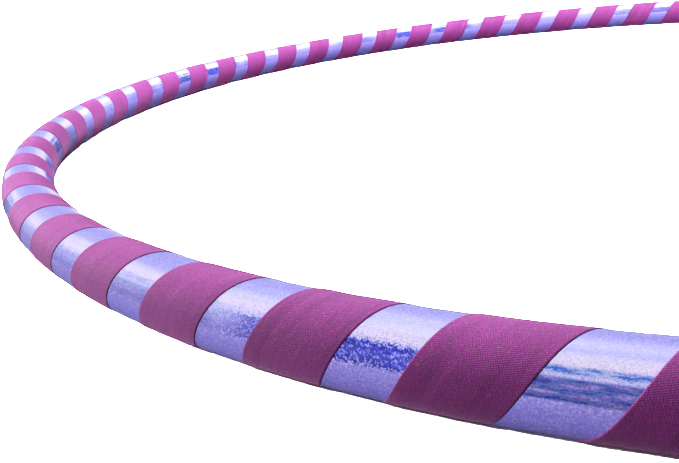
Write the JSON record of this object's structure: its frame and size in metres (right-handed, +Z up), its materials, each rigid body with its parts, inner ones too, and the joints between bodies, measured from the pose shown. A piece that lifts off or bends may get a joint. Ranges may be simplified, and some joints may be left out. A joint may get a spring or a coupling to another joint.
{
  "type": "rhythmic hoop",
  "caption": "Round dance and rhythmic hoop: a plastic tube ring closed by a push-button connector and wound with purple cloth tape and lavender glitter tape.",
  "frame": {"origin": "centre of the ring, on the surface that the hoop lies on", "axes": "+Z up out of the ring's plane, +X from the centre to the push button, which faces +Z on top of the tube"},
  "size_m": [0.86, 0.86, 0.027],
  "materials": {
    "tube_plastic": "satin black polyethylene",
    "connector_plastic": "satin natural polyethylene",
    "button_steel": "polished",
    "spring_steel": "blued spring steel",
    "rivet_aluminium": "satin",
    "mandrel_steel": "zinc plated",
    "gaffer_cloth": "matt woven cotton cloth tape",
    "hologram_film": "holographic glitter film"
  },
  "bodies": {
    "hoop": {"hoop_tube": "tube_plastic", "connector_insert": "connector_plastic", "snap_spring": "spring_steel", "rivet_bodies": "rivet_aluminium", "rivet_mandrels": "mandrel_steel", "gaffer_tape": "gaffer_cloth", "hologram_tape": "hologram_film", "seam_band_button_side": "gaffer_cloth", "seam_band_rivet_side": "gaffer_cloth"},
    "button": {"snap_button": "button_steel"}
  },
  "joints": [
    {"name": "button_press", "type": "slide", "parent": "hoop", "child": "button", "axis": [0, 0, -1], "range_m": [0, 0.0042], "stiffness_N_per_m": 1200, "springref_m": -0.003, "deforming": ["snap_spring"]}
  ]
}
